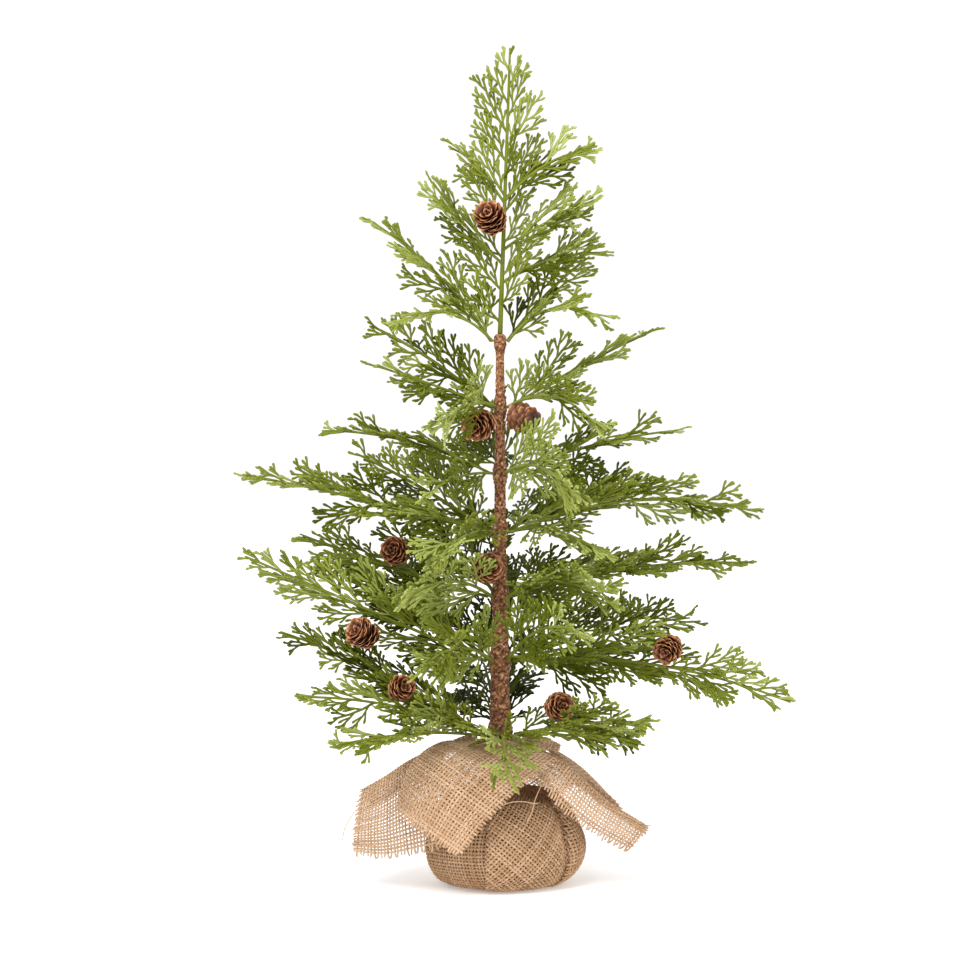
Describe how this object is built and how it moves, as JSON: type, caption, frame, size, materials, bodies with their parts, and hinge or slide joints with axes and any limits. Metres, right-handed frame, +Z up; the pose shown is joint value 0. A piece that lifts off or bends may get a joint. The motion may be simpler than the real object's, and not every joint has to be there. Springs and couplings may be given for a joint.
{
  "type": "artificial tabletop tree",
  "caption": "Slim artificial tabletop cedar tree with moulded green sprays on bendable wire roots, small cones, a bark-wrapped trunk and a weight wrapped in burlap.",
  "frame": {"origin": "centre of the flat underside of the wrapped weight, on the trunk's axis, at the surface it stands on", "axes": "+Z up the trunk, -Y towards the front, +X to the right as seen from the front"},
  "size_m": [0.3958, 0.2614, 0.6096],
  "materials": {
    "foliage": "moulded, satin",
    "cone": "natural dried, with paler scale edges",
    "bark": "granular bark coating, matt",
    "burlap": "open plain weave",
    "twine": "two-ply jute",
    "cement": "cast, rough",
    "steel": "drawn"
  },
  "bodies": {
    "base": {"weight_block": "cement", "trunk_rod": "steel", "trunk_bark": "bark", "burlap_wrap": "burlap", "neck_tie": "twine"},
    "branch_1a": {"spray_1a": "foliage"},
    "branch_1b": {"spray_1b": "foliage", "cone_1b": "cone"},
    "branch_1c": {"spray_1c": "foliage"},
    "branch_1d": {"spray_1d": "foliage"},
    "branch_1e": {"spray_1e": "foliage", "cone_1e": "cone"},
    "branch_1f": {"spray_1f": "foliage"},
    "branch_1g": {"spray_1g": "foliage"},
    "branch_2a": {"spray_2a": "foliage", "cone_2a": "cone"},
    "branch_2b": {"spray_2b": "foliage"},
    "branch_2c": {"spray_2c": "foliage"},
    "branch_2d": {"spray_2d": "foliage"},
    "branch_2e": {"spray_2e": "foliage", "cone_2e": "cone"},
    "branch_2f": {"spray_2f": "foliage"},
    "branch_2g": {"spray_2g": "foliage"},
    "branch_3a": {"spray_3a": "foliage", "cone_3a": "cone"},
    "branch_3b": {"spray_3b": "foliage", "cone_3b": "cone"},
    "branch_3c": {"spray_3c": "foliage"},
    "branch_3d": {"spray_3d": "foliage"},
    "branch_3e": {"spray_3e": "foliage"},
    "branch_3f": {"spray_3f": "foliage"},
    "branch_4a": {"spray_4a": "foliage"},
    "branch_4b": {"spray_4b": "foliage"},
    "branch_4c": {"spray_4c": "foliage"},
    "branch_4d": {"spray_4d": "foliage"},
    "branch_4e": {"spray_4e": "foliage"},
    "branch_4f": {"spray_4f": "foliage"},
    "branch_5a": {"spray_5a": "foliage"},
    "branch_5b": {"spray_5b": "foliage"},
    "branch_5c": {"spray_5c": "foliage"},
    "branch_5d": {"spray_5d": "foliage"},
    "branch_5e": {"spray_5e": "foliage"},
    "branch_6a": {"spray_6a": "foliage"},
    "branch_6b": {"spray_6b": "foliage"},
    "branch_6c": {"spray_6c": "foliage", "cone_6c": "cone"},
    "branch_6d": {"spray_6d": "foliage"},
    "branch_6e": {"spray_6e": "foliage", "cone_6e": "cone"},
    "branch_7a": {"spray_7a": "foliage"},
    "branch_7b": {"spray_7b": "foliage"},
    "branch_7c": {"spray_7c": "foliage"},
    "branch_7d": {"spray_7d": "foliage"},
    "top": {"leader": "foliage", "cone_leader": "cone", "leader_sprig_1": "foliage", "leader_sprig_2": "foliage", "leader_sprig_3": "foliage", "leader_sprig_4": "foliage", "leader_sprig_5": "foliage"}
  },
  "joints": [
    {"name": "bend_1a", "type": "hinge", "parent": "base", "child": "branch_1a", "pos_m": [-0.0112, 0.00259, 0.109], "axis": [0.225, 0.9744, 0], "range_deg": [-6, 8]},
    {"name": "bend_1b", "type": "hinge", "parent": "base", "child": "branch_1b", "pos_m": [-0.01094, -0.00355, 0.109], "axis": [-0.309, 0.9511, 0], "range_deg": [-9, 6]},
    {"name": "bend_1c", "type": "hinge", "parent": "base", "child": "branch_1c", "pos_m": [-0.00827, -0.00799, 0.109], "axis": [-0.6947, 0.7193, 0], "range_deg": [-12, 8]},
    {"name": "bend_1d", "type": "hinge", "parent": "base", "child": "branch_1d", "pos_m": [0.0004, -0.01149, 0.109], "axis": [-0.9994, -0.0349, 0], "range_deg": [-12, 15]},
    {"name": "bend_1e", "type": "hinge", "parent": "base", "child": "branch_1e", "pos_m": [0.00881, -0.00739, 0.109], "axis": [-0.6428, -0.766, 0], "range_deg": [-12, 15]},
    {"name": "bend_1f", "type": "hinge", "parent": "base", "child": "branch_1f", "pos_m": [0.01051, 0.00468, 0.109], "axis": [0.4067, -0.9135, 0], "range_deg": [-12, 15]},
    {"name": "bend_1g", "type": "hinge", "parent": "base", "child": "branch_1g", "pos_m": [-0.001, 0.01146, 0.109], "axis": [0.9962, 0.0872, 0], "range_deg": [-12, 15]},
    {"name": "bend_2a", "type": "hinge", "parent": "base", "child": "branch_2a", "pos_m": [-0.00998, -0.00158, 0.163], "axis": [-0.1564, 0.9877, 0], "range_deg": [-10, 8]},
    {"name": "bend_2b", "type": "hinge", "parent": "base", "child": "branch_2b", "pos_m": [-0.00751, 0.00676, 0.163], "axis": [0.6691, 0.7431, 0], "range_deg": [-12, 8]},
    {"name": "bend_2c", "type": "hinge", "parent": "base", "child": "branch_2c", "pos_m": [-0.00505, -0.00875, 0.163], "axis": [-0.866, 0.5, 0], "range_deg": [-12, 15]},
    {"name": "bend_2d", "type": "hinge", "parent": "base", "child": "branch_2d", "pos_m": [0.00474, -0.00892, 0.163], "axis": [-0.8829, -0.4695, 0], "range_deg": [-12, 12]},
    {"name": "bend_2e", "type": "hinge", "parent": "base", "child": "branch_2e", "pos_m": [0.0098, -0.00244, 0.163], "axis": [-0.2419, -0.9703, 0], "range_deg": [-12, 15]},
    {"name": "bend_2f", "type": "hinge", "parent": "base", "child": "branch_2f", "pos_m": [0.00875, 0.00505, 0.163], "axis": [0.5, -0.866, 0], "range_deg": [-12, 15]},
    {"name": "bend_2g", "type": "hinge", "parent": "base", "child": "branch_2g", "pos_m": [0.00071, 0.01008, 0.163], "axis": [0.9976, -0.0698, 0], "range_deg": [-12, 12]},
    {"name": "bend_3a", "type": "hinge", "parent": "base", "child": "branch_3a", "pos_m": [-0.00885, 0.00093, 0.21], "axis": [0.1045, 0.9945, 0], "range_deg": [-9, 13]},
    {"name": "bend_3b", "type": "hinge", "parent": "base", "child": "branch_3b", "pos_m": [-0.00548, -0.00701, 0.21], "axis": [-0.788, 0.6157, 0], "range_deg": [-12, 8]},
    {"name": "bend_3c", "type": "hinge", "parent": "base", "child": "branch_3c", "pos_m": [0.00572, -0.00682, 0.21], "axis": [-0.766, -0.6428, 0], "range_deg": [-8, 13]},
    {"name": "bend_3d", "type": "hinge", "parent": "base", "child": "branch_3d", "pos_m": [0.0089, 0.00031, 0.21], "axis": [0.0349, -0.9994, 0], "range_deg": [-12, 12]},
    {"name": "bend_3e", "type": "hinge", "parent": "base", "child": "branch_3e", "pos_m": [0.00472, 0.00755, 0.21], "axis": [0.848, -0.5299, 0], "range_deg": [-12, 15]},
    {"name": "bend_3f", "type": "hinge", "parent": "base", "child": "branch_3f", "pos_m": [-0.00304, 0.00836, 0.21], "axis": [0.9397, 0.342, 0], "range_deg": [-12, 15]},
    {"name": "bend_4a", "type": "hinge", "parent": "base", "child": "branch_4a", "pos_m": [-0.00804, -0.00099, 0.257], "axis": [-0.1219, 0.9925, 0], "range_deg": [-12, 7]},
    {"name": "bend_4b", "type": "hinge", "parent": "base", "child": "branch_4b", "pos_m": [-0.00655, 0.00476, 0.257], "axis": [0.5878, 0.809, 0], "range_deg": [-12, 11]},
    {"name": "bend_4c", "type": "hinge", "parent": "base", "child": "branch_4c", "pos_m": [-0.0038, -0.00715, 0.257], "axis": [-0.8829, 0.4695, 0], "range_deg": [-9, 15]},
    {"name": "bend_4d", "type": "hinge", "parent": "base", "child": "branch_4d", "pos_m": [0.00802, -0.00113, 0.257], "axis": [-0.1392, -0.9903, 0], "range_deg": [-12, 15]},
    {"name": "bend_4e", "type": "hinge", "parent": "base", "child": "branch_4e", "pos_m": [0.00563, -0.00583, 0.257], "axis": [-0.7193, -0.6947, 0], "range_deg": [-12, 15]},
    {"name": "bend_4f", "type": "hinge", "parent": "base", "child": "branch_4f", "pos_m": [0.00542, 0.00602, 0.257], "axis": [0.7431, -0.6691, 0], "range_deg": [-12, 15]},
    {"name": "bend_5a", "type": "hinge", "parent": "base", "child": "branch_5a", "pos_m": [-0.00746, 0.00078, 0.3], "axis": [0.1045, 0.9945, 0], "range_deg": [-12, 15]},
    {"name": "bend_5b", "type": "hinge", "parent": "base", "child": "branch_5b", "pos_m": [-0.00557, -0.00502, 0.3], "axis": [-0.6691, 0.7431, 0], "range_deg": [-12, 15]},
    {"name": "bend_5c", "type": "hinge", "parent": "base", "child": "branch_5c", "pos_m": [0.00329, -0.00674, 0.3], "axis": [-0.8988, -0.4384, 0], "range_deg": [-12, 15]},
    {"name": "bend_5d", "type": "hinge", "parent": "base", "child": "branch_5d", "pos_m": [0.00744, 0.00091, 0.3], "axis": [0.1219, -0.9925, 0], "range_deg": [-12, 15]},
    {"name": "bend_5e", "type": "hinge", "parent": "base", "child": "branch_5e", "pos_m": [-0.00078, 0.00746, 0.3], "axis": [0.9945, 0.1045, 0], "range_deg": [-12, 15]},
    {"name": "bend_6a", "type": "hinge", "parent": "base", "child": "branch_6a", "pos_m": [-0.00679, -0.00169, 0.348], "axis": [-0.2419, 0.9703, 0], "range_deg": [-12, 9]},
    {"name": "bend_6b", "type": "hinge", "parent": "base", "child": "branch_6b", "pos_m": [-0.00618, 0.00329, 0.348], "axis": [0.4695, 0.8829, 0], "range_deg": [-10, 15]},
    {"name": "bend_6c", "type": "hinge", "parent": "base", "child": "branch_6c", "pos_m": [-0.00307, -0.00629, 0.348], "axis": [-0.8988, 0.4384, 0], "range_deg": [-12, 15]},
    {"name": "bend_6d", "type": "hinge", "parent": "base", "child": "branch_6d", "pos_m": [0.00699, 0.00037, 0.348], "axis": [0.0523, -0.9986, 0], "range_deg": [-12, 11]},
    {"name": "bend_6e", "type": "hinge", "parent": "base", "child": "branch_6e", "pos_m": [0.0052, -0.00468, 0.348], "axis": [-0.6691, -0.7431, 0], "range_deg": [-12, 15]},
    {"name": "bend_7a", "type": "hinge", "parent": "base", "child": "branch_7a", "pos_m": [-0.0066, 0.00023, 0.396], "axis": [0.0349, 0.9994, 0], "range_deg": [-12, 10]},
    {"name": "bend_7b", "type": "hinge", "parent": "base", "child": "branch_7b", "pos_m": [-0.0056, -0.0035, 0.396], "axis": [-0.5299, 0.848, 0], "range_deg": [-12, 12]},
    {"name": "bend_7c", "type": "hinge", "parent": "base", "child": "branch_7c", "pos_m": [0.00572, -0.0033, 0.396], "axis": [-0.5, -0.866, 0], "range_deg": [-12, 9]},
    {"name": "bend_7d", "type": "hinge", "parent": "base", "child": "branch_7d", "pos_m": [0.00547, 0.00369, 0.396], "axis": [0.5592, -0.829, 0], "range_deg": [-12, 15]},
    {"name": "bend_leader", "type": "hinge", "parent": "base", "child": "top", "pos_m": [0, 0, 0.4027], "axis": [0, 1, 0], "range_deg": [-8, 5]}
  ]
}
